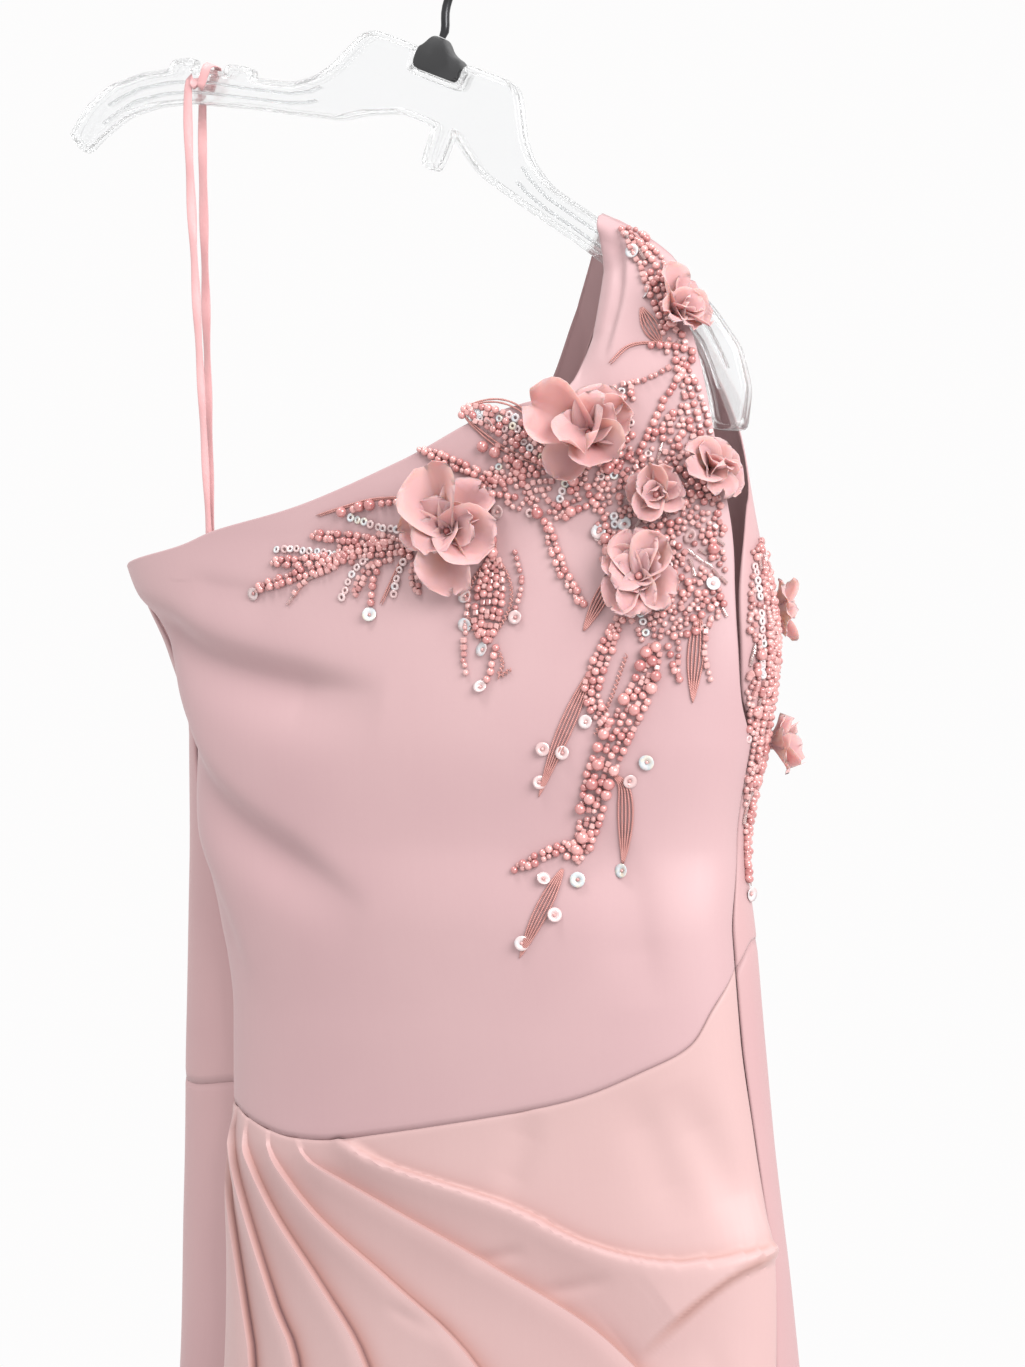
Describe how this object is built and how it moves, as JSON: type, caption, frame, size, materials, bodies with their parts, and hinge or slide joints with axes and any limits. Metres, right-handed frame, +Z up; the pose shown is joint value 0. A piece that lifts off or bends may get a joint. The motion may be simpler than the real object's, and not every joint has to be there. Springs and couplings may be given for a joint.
{
  "type": "one-shoulder dress on hanger",
  "caption": "Full-length one-shoulder evening dress with a beaded floral shoulder and diagonal side pleats, on a clear hanger.",
  "frame": {"origin": "inside top of the hanger's wire hook, where the rail carries it", "axes": "+Z up, the front of the dress faces -Y, +X towards the covered shoulder as the picture shows it"},
  "size_m": [0.5633, 0.2781, 1.6344],
  "materials": {
    "satin": "dusty pink satin-backed crepe, soft sheen",
    "satin_skirt": "dusty pink satin-backed crepe, soft sheen",
    "ribbon": "narrow satin ribbon",
    "trim": "embroidered and beaded applique",
    "petal": "matt chiffon petals",
    "clear_plastic": "clear moulded plastic",
    "black_plastic": "black moulded plastic",
    "dark_wire": "black coated steel wire"
  },
  "bodies": {
    "root": {"bodice_front": "satin", "bodice_back": "satin", "skirt_front": "satin_skirt", "skirt_back": "satin_skirt", "hanging_loop": "ribbon", "hanger": "clear_plastic", "hook_base": "black_plastic", "hook_wire": "dark_wire", "flower_armhole": "petal", "flower_centre": "petal", "flower_large": "petal", "flower_peak": "petal", "flower_shoulder": "petal", "flower_side_lower": "petal", "flower_side_upper": "petal", "flower_small": "petal", "trim_arch": "trim", "trim_armhole_row": "trim", "trim_back_high": "trim", "trim_back_low": "trim", "trim_drop_large": "trim", "trim_fan_leaf": "trim", "trim_fan_lower": "trim", "trim_fan_top": "trim", "trim_fan_upper": "trim", "trim_long_drop": "trim", "trim_long_tip": "trim", "trim_neck_spray": "trim", "trim_peak_leaf": "trim", "trim_peak_string": "trim", "trim_short_drop": "trim", "trim_shoulder_edge": "trim", "trim_side_row": "trim", "trim_side_tip": "trim", "trim_strap_drop": "trim", "trim_thread_leaf": "trim", "trim_yoke": "trim"}
  },
  "joints": []
}
